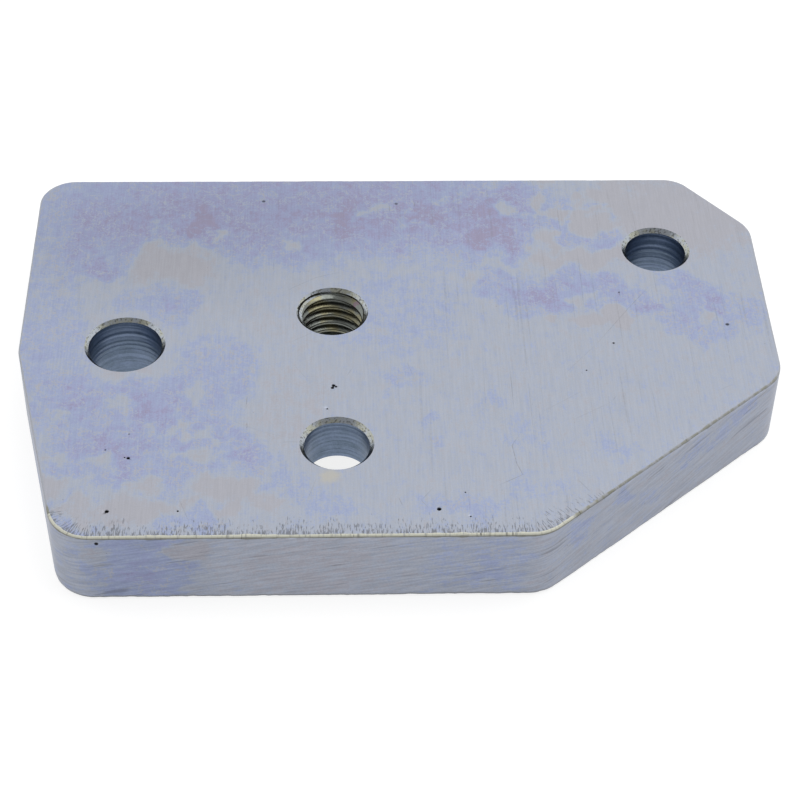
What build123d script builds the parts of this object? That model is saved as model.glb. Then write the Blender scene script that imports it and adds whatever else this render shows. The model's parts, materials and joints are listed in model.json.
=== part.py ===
from build123d import *
import os

# Machined mounting block: one piece of 12 mm steel plate, milled all round to a seven-sided
# outline and drilled with three bolt holes and one tapped hole.
#
# Millimetres, +Z up.  The block lies on its underside at Z = 0.  X runs along the long back
# edge, Y from the front edge to the back edge, and the origin is under the middle of the
# block's bounding box.  As on a workshop drawing, the plan is dimensioned from two datum
# edges: `from_left` is the distance from the left end, `from_front` that from the front edge.

# --- Plate -----------------------------------------------------------------------------------
LENGTH = 108.0  # left end to right edge
WIDTH = 75.0  # front edge to back edge
THICKNESS = 12.0
CORNER_RADIUS = 6.0  # every corner of the outline, cut with a 12 mm end mill
EDGE_BREAK = 0.2  # file-broken edges round the top and the underside

# --- Cut corners: how much each slanted edge takes off the rectangle ---------------------------
BACK_RIGHT_CUT = (9.8, 12.0)  # small cut behind the right-hand hole: along X, along Y
FRONT_RIGHT_CUT = (35.4, 30.0)  # large cut across the front right corner
FRONT_LEFT_TAPER = (7.9, 36.0)  # long, slight taper of the left edge towards the front

# --- Bolt holes: distances from the datum edges, and sizes --------------------------------------
LEFT_HOLE_AT = (15.0, 37.4)
LEFT_HOLE_DIAMETER = 10.5  # clears an M10 bolt
LEFT_HOLE_CHAMFER = 0.5

RIGHT_HOLE_AT = (93.1, 58.0)
FRONT_HOLE_AT = (45.0, 17.2)
BOLT_HOLE_DIAMETER = 9.0  # clears an M8 bolt
BOLT_HOLE_CHAMFER = 0.6

COUNTERSINK_DIAMETER = 19.0  # seat of a flat-head M8 screw, from the underside
COUNTERSINK_ANGLE = 90.0

# --- Tapped hole, M10 x 1.5, modelled at its tapping-drill size ---------------------------------
TAPPED_HOLE_AT = (44.5, 44.3)
TAPPING_DRILL_DIAMETER = 8.5
TAPPED_MOUTH_DIAMETER = 10.4  # mouth opened just past the thread's 10 mm outside diameter


def plan(from_left, from_front):
    """Turn distances from the two datum edges into X and Y of the model."""
    return (from_left - LENGTH / 2, from_front - WIDTH / 2)


def rim(hole_at, height, diameter):
    """The sharp edge of a bore of this diameter where it meets the face at this height."""
    circles = mounting_block.edges().filter_by(GeomType.CIRCLE).filter_by_position(
        Axis.Z, height, height
    )
    full_size = circles.filter_by(lambda edge: abs(edge.radius - diameter / 2) < 0.01)
    return full_size.sort_by_distance((*plan(*hole_at), height))[0]


with BuildPart() as mounting_block:
    # The seven-sided outline, anticlockwise from the front end of the left taper.
    with BuildSketch(Plane.XY) as outline:
        with BuildLine():
            Polyline(
                plan(FRONT_LEFT_TAPER[0], 0),
                plan(LENGTH - FRONT_RIGHT_CUT[0], 0),
                plan(LENGTH, FRONT_RIGHT_CUT[1]),
                plan(LENGTH, WIDTH - BACK_RIGHT_CUT[1]),
                plan(LENGTH - BACK_RIGHT_CUT[0], WIDTH),
                plan(0, WIDTH),
                plan(0, FRONT_LEFT_TAPER[1]),
                close=True,
            )
        make_face()
        fillet(outline.vertices(), radius=CORNER_RADIUS)
    extrude(amount=THICKNESS)

    # Broken edges round the top and the underside, before any hole opens those faces.
    faces_up_and_down = mounting_block.faces().filter_by(Axis.Z)
    chamfer(faces_up_and_down.edges(), length=EDGE_BREAK)

    # Two straight bolt holes, right through.
    with Locations((*plan(*LEFT_HOLE_AT), THICKNESS)):
        Hole(radius=LEFT_HOLE_DIAMETER / 2)
    with Locations((*plan(*RIGHT_HOLE_AT), THICKNESS)):
        Hole(radius=BOLT_HOLE_DIAMETER / 2)

    # The front bolt hole, countersunk from the underside so that a flat head sits inside it.
    underside_of_front_hole = Plane(origin=(*plan(*FRONT_HOLE_AT), 0), z_dir=(0, 0, -1))
    with Locations(underside_of_front_hole):
        CounterSinkHole(
            radius=BOLT_HOLE_DIAMETER / 2,
            counter_sink_radius=COUNTERSINK_DIAMETER / 2,
            counter_sink_angle=COUNTERSINK_ANGLE,
        )

    # The tapped hole, drilled right through for the tap.
    with Locations((*plan(*TAPPED_HOLE_AT), THICKNESS)):
        Hole(radius=TAPPING_DRILL_DIAMETER / 2)

    # Every mouth is chamfered at 45 degrees, except the one that the countersink replaces.
    tapped_mouth_chamfer = (TAPPED_MOUTH_DIAMETER - TAPPING_DRILL_DIAMETER) / 2
    for height in (THICKNESS, 0):
        chamfer(rim(LEFT_HOLE_AT, height, LEFT_HOLE_DIAMETER), length=LEFT_HOLE_CHAMFER)
        chamfer(rim(RIGHT_HOLE_AT, height, BOLT_HOLE_DIAMETER), length=BOLT_HOLE_CHAMFER)
        chamfer(rim(TAPPED_HOLE_AT, height, TAPPING_DRILL_DIAMETER), length=tapped_mouth_chamfer)
    chamfer(rim(FRONT_HOLE_AT, THICKNESS, BOLT_HOLE_DIAMETER), length=BOLT_HOLE_CHAMFER)

mounting_block.part.label = "mounting_block"

os.makedirs("parts", exist_ok=True)
export_step(mounting_block.part, "parts/mounting_block.step")
print(f"mounting_block: {mounting_block.part.volume / 1000:.1f} cm3")
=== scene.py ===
import json
import logging
import math
from dataclasses import dataclass
from enum import Enum
from typing import Any

import bpy
import numpy as np
from mathutils import Matrix, Vector
from mathutils.geometry import delaunay_2d_cdt


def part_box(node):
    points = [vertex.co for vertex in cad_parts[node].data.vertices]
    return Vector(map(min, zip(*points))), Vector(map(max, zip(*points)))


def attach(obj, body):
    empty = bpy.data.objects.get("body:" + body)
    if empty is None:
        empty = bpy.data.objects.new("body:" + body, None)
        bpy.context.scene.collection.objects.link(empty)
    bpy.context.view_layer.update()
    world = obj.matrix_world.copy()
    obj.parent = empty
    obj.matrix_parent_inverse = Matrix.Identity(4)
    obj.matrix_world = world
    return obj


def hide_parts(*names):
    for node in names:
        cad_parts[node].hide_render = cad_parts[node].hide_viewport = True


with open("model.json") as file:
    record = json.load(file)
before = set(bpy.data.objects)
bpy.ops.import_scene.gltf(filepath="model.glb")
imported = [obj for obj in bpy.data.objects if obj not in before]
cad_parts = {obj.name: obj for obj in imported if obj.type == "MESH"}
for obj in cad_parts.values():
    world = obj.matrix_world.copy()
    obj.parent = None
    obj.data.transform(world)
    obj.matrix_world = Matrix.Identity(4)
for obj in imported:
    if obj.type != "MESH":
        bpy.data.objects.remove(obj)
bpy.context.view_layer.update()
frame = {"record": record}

# Looks of the machined mounting block: a seven-sided steel plate, milled all round, drilled with
# three bolt holes and one M10 tapped hole, and zinc plated with a patchy blue bloom.
#
# Shapes are worked out in millimetres in the frame of the CAD model and scaled by MM when they
# become meshes.  Marks on the top face are placed from the two datum edges, as on a drawing:
# so far from the left end, so far from the front edge.

LOG = logging.getLogger("mounting_block")
MM = 0.001
NODE = "mounting_block"
RECORD = frame["record"]
NODE_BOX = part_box(NODE)
LENGTH, WIDTH, THICKNESS = ((high - low) / MM for low, high in zip(*NODE_BOX))


class Surface(Enum):
    """The kinds of surface on the block; the value is the material slot on its mesh."""

    FACE = 0
    SIDE = 1
    BROKEN_EDGE = 2
    BORE = 3
    CHAMFER = 4
    THREAD = 5


class Side(Enum):
    """The outline's straight sides, anticlockwise from the back edge."""

    BACK = 0
    LEFT = 1
    TAPER = 2
    FRONT = 3
    DIAGONAL = 4
    RIGHT = 5


def plan(from_left: float, from_front: float) -> tuple[float, float]:
    """Turn distances from the two datum edges into X and Y of the block, in millimetres."""
    return (from_left - LENGTH / 2, from_front - WIDTH / 2)


def smooth(share: np.ndarray) -> np.ndarray:
    """Ease from 0 to 1: the cubic 3t^2 - 2t^3 of the share, held at its ends."""
    held = np.clip(share, 0.0, 1.0)
    return held * held * (3.0 - 2.0 * held)


def ripple(at: np.ndarray, period: float, waves: range, seed: int) -> np.ndarray:
    """A smooth, repeatable wander that closes on itself over one period.

    The sum of one sine for each whole number of waves, each with its own phase and a random
    strength, divided by the root of their number, so that it stays at about plus or minus one.

    Args:
        at: where to work it out, in the units of the period.
        period: the length after which it repeats.
        waves: how many waves each sine has in a period.
        seed: picks the phases and strengths.

    Returns:
        The wander, in the shape of `at`.
    """
    draw = np.random.default_rng(seed)
    count = np.array(waves, dtype=float)
    phase = draw.uniform(0.0, 2.0 * math.pi, count.size)
    strength = draw.uniform(0.5, 1.5, count.size)
    turn = 2.0 * math.pi * at[..., None] * count / period + phase
    return (strength * np.sin(turn)).sum(axis=-1) / math.sqrt(count.size)


def wander(points: np.ndarray, size: float, reach: float, seed: int) -> np.ndarray:
    """Shift points about smoothly, so that shapes laid out on them get uneven outlines.

    Each axis moves by the sum of twenty-eight plane sine waves with random headings and phases
    and with wavelengths from two thirds to twice the size.

    Args:
        points: rows of X and Y.
        size: about how far apart the bulges are.
        reach: about how far the points move.
        seed: picks the waves.

    Returns:
        The moved points.
    """
    draw = np.random.default_rng(seed)
    count = 28
    heading = draw.uniform(0.0, 2.0 * math.pi, count)
    length = size * draw.uniform(0.66, 2.0, count)
    phase = draw.uniform(0.0, 2.0 * math.pi, count)
    pull = draw.uniform(-1.0, 1.0, (count, 2)) * reach * math.sqrt(6.0 / count)
    wave = np.array([np.cos(heading), np.sin(heading)]) * 2.0 * math.pi / length
    return points + np.sin(points @ wave + phase) @ pull


# --- Shape ---------------------------------------------------------------------------------------


@dataclass(frozen=True)
class Trace:
    """Points along the block's outline, anticlockwise from the right end of the back edge.

    Attributes:
        points: X and Y of each point.
        outward: the outline's unit normal there.
        station: how far along the outline each point is.
        girth: the length of the whole outline.
    """

    points: np.ndarray
    outward: np.ndarray
    station: np.ndarray
    girth: float


@dataclass(frozen=True)
class Outline:
    """The seven-sided outline, with every corner rounded.

    The radii go anticlockwise from the right end of the back edge, as the corners do.
    """

    corner_radii: tuple[float, ...] = (4.6, 5.2, 6.0, 6.0, 6.0, 6.0, 5.6)
    back_right_cut: tuple[float, float] = (9.8, 12.0)
    front_right_cut: tuple[float, float] = (35.4, 30.0)
    front_left_taper: tuple[float, float] = (7.9, 36.0)

    def corners(self) -> np.ndarray:
        """The seven sharp corners, anticlockwise from the right end of the back edge."""
        return np.array(
            [
                plan(LENGTH - self.back_right_cut[0], WIDTH),
                plan(0.0, WIDTH),
                plan(0.0, self.front_left_taper[1]),
                plan(self.front_left_taper[0], 0.0),
                plan(LENGTH - self.front_right_cut[0], 0.0),
                plan(LENGTH, self.front_right_cut[1]),
                plan(LENGTH, WIDTH - self.back_right_cut[1]),
            ]
        )

    def sides(self) -> tuple[np.ndarray, ...]:
        """Lay out the sides between the sharp corners.

        Returns:
            For each side the way to its far corner, its length and its heading; for the corner
            that it starts from, the angle that the outline turns there and the length that the
            rounding takes off the side.
        """
        corner = self.corners()
        ahead = np.roll(corner, -1, axis=0) - corner
        side = np.linalg.norm(ahead, axis=1)
        heading = np.arctan2(ahead[:, 1], ahead[:, 0])
        turn = (heading - np.roll(heading, 1)) % (2.0 * math.pi)
        return ahead, side, heading, turn, np.array(self.corner_radii) * np.tan(turn / 2.0)

    def station_on(self, side: Side, along: float) -> float:
        """Station of a point on a side, so far along from that side's sharp corner."""
        _, length, _, turn, tangent = self.sides()
        passed = slice(1, side.value + 1)
        arc = (np.array(self.corner_radii) * turn)[passed].sum()
        before = length[: side.value].sum() - 2.0 * tangent[passed].sum() + arc
        return float(before - tangent[0] + along)

    def trace(self, step: float) -> Trace:
        """Walk the outline at even steps.

        Side i runs straight from the end of one corner's arc to the start of the next, and the
        arc after it turns the heading evenly, so the outward normal is always the heading
        turned a quarter to the right.

        Args:
            step: about how far apart the points are.

        Returns:
            The points, normals and stations.
        """
        corner = self.corners()
        ahead, side, heading, turn, tangent = self.sides()
        radius = np.array(self.corner_radii)
        straight = side - tangent - np.roll(tangent, -1)
        arc = np.roll(radius * turn, -1)
        length = np.column_stack([straight, arc]).ravel()
        end = np.cumsum(length)
        count = int(round(end[-1] / step))
        station = np.arange(count) * end[-1] / count
        piece = np.searchsorted(end, station, side="right")
        past = station - (end - length)[piece]
        number = piece // 2
        on_arc = (piece % 2 == 1)[:, None]
        along = ahead / side[:, None]
        start = (corner + tangent[:, None] * along)[number]
        arc_start = start + (straight[:, None] * along)[number]
        leftward = np.column_stack([-along[:, 1], along[:, 0]])[number]
        next_radius = np.roll(radius, -1)[number]
        centre = arc_start + next_radius[:, None] * leftward
        angle = heading[number] + np.where(on_arc[:, 0], past / next_radius, 0.0)
        outward = np.column_stack([np.sin(angle), -np.cos(angle)])
        on_line = start + past[:, None] * along[number]
        points = np.where(on_arc, centre + next_radius[:, None] * outward, on_line)
        return Trace(points, outward, station, float(end[-1]))


OUTLINE = Outline()


@dataclass(frozen=True)
class Patch:
    """A grid of surface points and the surface that its faces belong to.

    Attributes:
        points: rows x columns x 3, the first row on the top face, the last on the underside.
        run: rows x columns + 1 x 2, distance round and height of each point, for the finishes,
            with the first column repeated at the end of the round.
        surface: the kind of surface of each row of faces.
        outside: True where the steel is inside the loop, False for a hole.
    """

    points: np.ndarray
    run: np.ndarray
    surface: list[Surface]
    outside: bool


def run_of(round_at: np.ndarray, height: np.ndarray) -> np.ndarray:
    """The run of a patch: distance round and height, with the first column repeated at the end."""
    across = np.broadcast_to(round_at, (height.shape[0], round_at.size))
    return np.dstack([across, np.hstack([height, height[:, :1]])])


@dataclass(frozen=True)
class Edge:
    """The outer wall with its broken edges, as one profile carried along the outline."""

    outline: Outline = OUTLINE
    step: float = 0.5
    break_radius: float = 0.30
    lower_break_radius: float = 0.55
    break_rows: int = 5
    wall_rows: int = 18
    lead_in: float = 0.06
    nicks: int = 70
    nick_reach: float = 0.22
    slow_waves: range = range(3, 40)
    quick_waves: range = range(120, 300, 7)
    upper_seed: int = 11
    lower_seed: int = 23

    def break_size(self, trace: Trace, radius: float, seed: int) -> np.ndarray:
        """How far the edge is broken at each station: a hand-filed wander with small nicks.

        The wander is two ripples, each nick adds a bell curve at a random station, and both
        are larger where the cutter left burrs to file.
        """
        draw = np.random.default_rng(seed)
        slow = ripple(trace.station, trace.girth, self.slow_waves, seed)
        quick = ripple(trace.station, trace.girth, self.quick_waves, seed + 1)
        nick_at = draw.uniform(0.0, trace.girth, self.nicks)
        nick_width = draw.uniform(0.25, 0.9, self.nicks)
        nick_depth = self.nick_reach * draw.uniform(0.1, 1.0, self.nicks) ** 2
        away = (trace.station[:, None] - nick_at) / nick_width
        nick = (nick_depth * np.exp(-(away**2))).sum(axis=1)
        flat = np.column_stack([trace.station, np.zeros_like(trace.station)])
        burr = np.minimum(total(BURRS, flat), 1.0)
        filed = radius * (0.75 + 0.45 * burr) * (1.0 + 0.10 * slow + 0.06 * quick)
        return filed + nick * (0.3 + 0.7 * burr)

    def wall(self) -> Patch:
        """The wall from the top face round both broken edges to the underside.

        Down each station the profile is a lead-in on the top face, a quarter circle of the
        local break size, the upright wall, a second quarter circle and a lead-in below.
        """
        trace = self.outline.trace(self.step)
        upper = self.break_size(trace, self.break_radius, self.upper_seed)
        lower = self.break_size(trace, self.lower_break_radius, self.lower_seed)
        round_off = np.linspace(0.0, math.pi / 2.0, self.break_rows + 1)
        inset_up = upper * (1.0 - np.sin(round_off))[:, None]
        height_up = THICKNESS - upper * (1.0 - np.cos(round_off))[:, None]
        inset_down = lower * (1.0 - np.sin(round_off[::-1]))[:, None]
        height_down = lower * (1.0 - np.cos(round_off[::-1]))[:, None]
        share = np.linspace(0.0, 1.0, self.wall_rows + 1)[1:-1, None]
        height_wall = height_up[-1] + share * (height_down[0] - height_up[-1])
        inset = np.vstack(
            [
                inset_up[:1] + self.lead_in,
                inset_up,
                np.zeros_like(height_wall),
                inset_down,
                inset_down[-1:] + self.lead_in,
            ]
        )
        height = np.vstack(
            [height_up[:1], height_up, height_wall, height_down, height_down[-1:]]
        )
        flat = trace.points[None, :, :] - inset[:, :, None] * trace.outward[None, :, :]
        points = np.concatenate([flat, height[:, :, None]], axis=2)
        round_at = np.append(trace.station, trace.girth)
        broken = [Surface.BROKEN_EDGE] * self.break_rows
        surface = [Surface.FACE, *broken, *[Surface.SIDE] * self.wall_rows, *broken, Surface.FACE]
        return Patch(points, run_of(round_at, height), surface, outside=True)


@dataclass(frozen=True)
class Bore:
    """A drilled hole right through the block, with a 45 degree cone at each mouth.

    Attributes:
        centre: X and Y of its axis.
        radius: the drill's radius.
        top_mouth: depth and reach of the cone at the top face.
        low_mouth: depth and reach of the cone at the underside.
        columns: points round the hole.
        rows: rows of faces down the drilled wall.
        tool_mark: height of the rings that the drill left.
        seed: picks the rings.
        wall_surface: the kind of surface of the drilled wall.
        mouth_rows: rows of faces down each cone.
        chatter: height of the marks that the countersink left.
    """

    centre: tuple[float, float]
    radius: float
    top_mouth: float
    low_mouth: float
    columns: int = 96
    rows: int = 76
    tool_mark: float = 0.012
    seed: int = 1
    wall_surface: Surface = Surface.BORE
    mouth_rows: int = 5
    chatter: float = 0.006

    def wall_radius(self, angle: np.ndarray, height: np.ndarray) -> np.ndarray:
        """The drilled wall: the drill's radius plus shallow, slightly tilted feed rings."""
        tilt = 0.08 * np.sin(angle + self.seed)
        rings = ripple(height + tilt, THICKNESS, range(6, 17), self.seed)
        return self.radius + self.tool_mark * rings

    def mouth_radius(self, angle: np.ndarray, height: np.ndarray) -> np.ndarray:
        """The wider of the two 45 degree cones, with faint chatter from the countersink."""
        chatter = self.chatter * ripple(angle, 2.0 * math.pi, range(17, 40, 3), self.seed + 5)
        upper = self.radius + self.top_mouth - (THICKNESS - height)
        lower = self.radius + self.low_mouth - height
        return np.maximum(upper, lower) + chatter * np.minimum(1.0, THICKNESS - height)

    def heights(self) -> np.ndarray:
        """Row heights from the top face down, with rows on both ends of each cone."""
        upper = np.linspace(THICKNESS, THICKNESS - self.top_mouth, self.mouth_rows + 1)
        wall = np.linspace(THICKNESS - self.top_mouth, self.low_mouth, self.rows + 1)
        lower = np.linspace(self.low_mouth, 0.0, self.mouth_rows + 1)
        return np.concatenate([upper, wall[1:-1], lower])

    def surfaces(self) -> list[Surface]:
        """The kind of surface of each row of faces, from the top down."""
        mouth = [Surface.CHAMFER] * self.mouth_rows
        return [*mouth, *[self.wall_surface] * self.rows, *mouth]

    def wall(self) -> Patch:
        """The hole as a surface of revolution: radius as a function of angle and height."""
        angle = np.linspace(0.0, 2.0 * math.pi, self.columns, endpoint=False)
        turn, height = np.meshgrid(angle, self.heights())
        drilled = self.wall_radius(turn, height)
        radius = np.maximum(drilled, self.mouth_radius(turn, height))
        rim = np.isclose(height, THICKNESS) | np.isclose(height, 0.0)
        mouth = np.where(height > THICKNESS / 2, self.top_mouth, self.low_mouth)
        radius = np.where(rim, self.radius + mouth, radius)
        points = np.dstack(
            [
                self.centre[0] + radius * np.cos(turn),
                self.centre[1] + radius * np.sin(turn),
                height,
            ]
        )
        round_at = np.linspace(0.0, 2.0 * math.pi * self.radius, self.columns + 1)
        return Patch(points, run_of(round_at, height), self.surfaces(), outside=False)


@dataclass(frozen=True)
class TappedBore(Bore):
    """The tapped hole: a right-hand metric thread cut into the drilled wall.

    Attributes:
        pitch: distance between neighbouring threads.
        outside_radius: radius at the bottom of the thread's groove.
        phase: height of a crest's centre above the top face, on the +X side.
        rounding: how softly crest and root turn into the flanks.
        crest_flat: half the width of a crest, as a share of the pitch.
        wear: how uneven the tap left the surface.
    """

    columns: int = 120
    rows: int = 196
    wall_surface: Surface = Surface.THREAD
    pitch: float = 1.5
    outside_radius: float = 5.0
    phase: float = -0.47
    rounding: float = 0.035
    crest_flat: float = 1.0 / 8.0
    wear: float = 0.012

    def wall_radius(self, angle: np.ndarray, height: np.ndarray) -> np.ndarray:
        """The thread's surface.

        A crest rises as the angle grows, one pitch a turn.  The distance from the crest, as a
        share of the pitch, runs from 0 to a half; beyond the crest's flat the 60 degree flank
        deepens by the root of three times that distance, and soft limits hold it between the
        drilled crest and the root of the groove.
        """
        share = (height - THICKNESS - self.phase) / self.pitch - angle / (2.0 * math.pi)
        from_crest = np.abs((share + 0.5) % 1.0 - 0.5)
        flank = self.radius + (from_crest - self.crest_flat) * self.pitch * math.sqrt(3.0)
        floor = self.soft_above(flank, self.radius)
        wear = self.wear * ripple(angle, 2.0 * math.pi, range(5, 23, 3), self.seed + 2)
        return -self.soft_above(-floor, -self.outside_radius) + wear

    def soft_above(self, value: np.ndarray, limit: float) -> np.ndarray:
        """The larger of value and limit, blended over the rounding by a hyperbola."""
        over = value - limit
        return limit + 0.5 * (over + np.sqrt(over * over + 4.0 * self.rounding**2))


@dataclass(frozen=True)
class Pit:
    """A pit in the top face: a bowl of this radius and depth, painted darker towards its bottom.

    Attributes:
        at: its centre, from the datum edges.
        radius: the radius of its rim.
        depth: at its bottom.
        dark: how dark its bottom is painted, from 0 to 1.
        ring_points: points round each ring.
        rings: the rings' sizes, as shares of the radius.
        slope: share of the radius over which it reaches its depth.
    """

    at: tuple[float, float]
    radius: float
    depth: float
    dark: float = 1.0
    ring_points: int = 14
    rings: tuple[float, ...] = (1.0, 0.8, 0.5)
    slope: float = 0.6

    def own_points(self) -> np.ndarray:
        """Points on three rings and the centre, so that the bowl is really cut."""
        angle = np.linspace(0.0, 2.0 * math.pi, self.ring_points, endpoint=False)
        reach = self.radius * np.array(self.rings)[:, None]
        uneven = 1.0 + 0.12 * ripple(angle, 2.0 * math.pi, range(1, 5), int(self.at[0] * 7))
        rings = np.dstack([reach * uneven * np.cos(angle), reach * uneven * np.sin(angle)])
        return np.array(plan(*self.at)) + np.vstack([rings.reshape(-1, 2), [[0.0, 0.0]]])

    def away(self, points: np.ndarray) -> np.ndarray:
        """How far each point is from the bowl's rim; less than nothing inside it."""
        return np.linalg.norm(points - np.array(plan(*self.at)), axis=1) - self.radius

    def share(self, points: np.ndarray) -> np.ndarray:
        """How far down the bowl each point is: 0 on the rim, 1 at the bottom."""
        return smooth(-self.away(points) / self.radius / self.slope)

    def darkness(self, points: np.ndarray) -> np.ndarray:
        """How black each point is: its share of the depth, times how dark the pit is."""
        return self.share(points) * self.dark


PITS = (
    Pit((44.6, 28.6), 0.30, 0.30),
    Pit((44.45, 28.15), 0.27, 0.25),
    Pit((44.95, 28.35), 0.2, 0.2, 0.8),
    Pit((43.7, 23.9), 0.16, 0.15, 0.6),
    Pit((16.9, 14.6), 0.27, 0.3),
    Pit((16.4, 14.7), 0.14, 0.12, 0.6),
    Pit((14.7, 4.75), 0.32, 0.35),
    Pit((24.0, 4.7), 0.17, 0.15, 0.8),
    Pit((58.4, 4.7), 0.34, 0.35),
    Pit((62.5, 3.3), 0.15, 0.1, 0.6),
    Pit((62.0, 7.7), 0.14, 0.1, 0.5),
    Pit((13.7, 16.2), 0.18, 0.08, 0.35),
    Pit((16.7, 19.2), 0.18, 0.06, 0.3),
    Pit((84.7, 37.1), 0.25, 0.08, 0.45),
    Pit((80.3, 31.4), 0.15, 0.1, 0.5),
    Pit((86.6, 48.2), 0.2, 0.06, 0.4),
    Pit((101.6, 41.0), 0.42, 0.08, 0.4),
    Pit((34.1, 69.9), 0.4, 0.05, 0.35),
    Pit((54.4, 69.2), 0.4, 0.05, 0.3),
    Pit((79.5, 6.0), 0.22, 0.2, 0.8),
)


@dataclass(frozen=True)
class Scratch:
    """A shallow groove ploughed into the top face.

    Attributes:
        path: the points that it runs through, from the datum edges.
        strength: how dark its floor is, from 0 to 1.
        width: from side to side.
        depth: at its deepest.
        step: about how far apart its points are.
        taper: share of its length over which each end fades.
    """

    path: tuple[tuple[float, float], ...]
    strength: float = 0.5
    width: float = 0.13
    depth: float = 0.003
    step: float = 0.33
    taper: float = 0.25

    def centre_line(self) -> tuple[np.ndarray, np.ndarray]:
        """Points at even steps along the path, and the unit way across it."""
        corner = np.array([plan(*point) for point in self.path])
        reach = np.linalg.norm(np.diff(corner, axis=0), axis=1)
        station = np.concatenate([[0.0], np.cumsum(reach)])
        at = np.linspace(0.0, station[-1], max(3, int(station[-1] / self.step) + 1))
        line = np.column_stack([np.interp(at, station, corner[:, axis]) for axis in (0, 1)])
        ahead = np.gradient(line, axis=0)
        ahead = ahead / np.linalg.norm(ahead, axis=1)[:, None]
        return line, np.column_stack([-ahead[:, 1], ahead[:, 0]])

    def own_points(self) -> np.ndarray:
        """Three rows of points, so that the groove is really cut."""
        line, across = self.centre_line()
        side = across * self.width / 2.0
        return np.vstack([line, line + side, line - side])

    def away(self, points: np.ndarray) -> np.ndarray:
        """How far each point is from the groove's side; less than nothing inside it."""
        line, _ = self.centre_line()
        gap = np.full(len(points), np.inf)
        for start, end in zip(line[:-1], line[1:]):
            reach = end - start
            share = np.clip((points - start) @ reach / (reach @ reach), 0.0, 1.0)
            gap = np.minimum(gap, np.linalg.norm(points - start - share[:, None] * reach, axis=1))
        return gap - self.width / 2.0

    def share(self, points: np.ndarray) -> np.ndarray:
        """How deep in the groove each point is: 1 on the middle line, fading to its ends."""
        line, _ = self.centre_line()
        whole = np.linalg.norm(line[-1] - line[0])
        from_end = np.minimum(
            np.linalg.norm(points - line[0], axis=1), np.linalg.norm(points - line[-1], axis=1)
        )
        taper = 0.25 + 0.75 * smooth(from_end / (self.taper * whole))
        return taper * np.clip(-2.0 * self.away(points) / self.width, 0.0, 1.0)


SCRATCHES = (
    Scratch(((37.4, 48.6), (39.5, 50.1), (42.1, 51.8), (44.0, 52.5), (46.5, 53.2)), 0.5),
    Scratch(((38.3, 37.5), (42.5, 40.3)), 0.35),
    Scratch(((69.9, 18.5), (68.8, 16.5), (69.2, 13.0), (69.9, 10.9), (66.4, 8.9)), 0.75, 0.15),
    Scratch(((91.5, 49.9), (87.6, 44.6), (82.6, 37.4)), 0.6, 0.14),
    Scratch(((82.4, 37.1), (77.0, 30.5)), 0.3),
    Scratch(((77.4, 21.3), (83.3, 24.9)), 0.35),
    Scratch(((72.8, 22.6), (79.7, 27.4)), 0.35),
    Scratch(((69.5, 31.6), (69.5, 23.6)), 0.6),
    Scratch(((71.9, 30.0), (71.9, 15.0)), 0.35, 0.10),
    Scratch(((82.8, 26.0), (83.1, 12.8)), 0.45, 0.10),
    Scratch(((73.6, 38.0), (73.6, 19.5)), 0.3, 0.10),
    Scratch(((65.8, 33.0), (65.6, 24.0)), 0.4, 0.10),
    Scratch(((92.1, 52.6), (92.2, 44.0)), 0.45, 0.11),
    Scratch(((95.6, 42.0), (95.6, 25.0)), 0.3, 0.10),
    Scratch(((50.8, 45.0), (50.6, 33.0)), 0.3, 0.10),
    Scratch(((86.6, 48.7), (86.6, 47.4)), 0.9, 0.18),
    Scratch(((77.2, 9.9), (78.7, 7.6)), 0.7, 0.12),
    Scratch(((83.3, 25.0), (84.2, 26.5)), 0.5, 0.12),
    Scratch(((55.0, 33.4), (55.7, 30.6)), 0.4, 0.14),
    Scratch(((57.0, 4.9), (56.1, 6.3), (57.7, 8.5)), 0.6, 0.12),
    Scratch(((53.1, 6.9), (53.6, 5.3)), 0.6, 0.15),
    Scratch(((46.5, 30.6), (47.3, 32.2)), 0.5, 0.12),
    Scratch(((30.4, 21.8), (34.5, 19.6), (38.4, 18.2)), 0.3, 0.10),
    Scratch(((37.2, 17.4), (39.6, 17.5)), 0.45, 0.12),
    Scratch(((38.6, 33.5), (41.2, 29.4)), 0.3, 0.10),
    Scratch(((32.6, 26.5), (32.5, 24.0)), 0.6, 0.17),
    Scratch(((32.7, 21.2), (32.7, 19.9)), 0.9, 0.2),
    Scratch(((24.0, 7.0), (25.6, 2.6)), 0.55, 0.12),
    Scratch(((41.0, 6.5), (42.2, 10.5)), 0.4, 0.12),
    Scratch(((36.3, 71.0), (36.4, 67.6)), 0.3, 0.34, 0.002),
    Scratch(((35.8, 55.3), (35.9, 53.4)), 0.35, 0.15),
    Scratch(((53.3, 68.9), (53.4, 67.4)), 0.5, 0.22),
    Scratch(((57.2, 69.6), (57.2, 68.2)), 0.6, 0.24),
    Scratch(((65.2, 62.4), (65.2, 61.0)), 0.5, 0.22),
    Scratch(((71.8, 62.2), (72.2, 59.8)), 0.45, 0.17),
    Scratch(((98.6, 27.2), (100.9, 28.4)), 0.4, 0.12),
)


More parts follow.
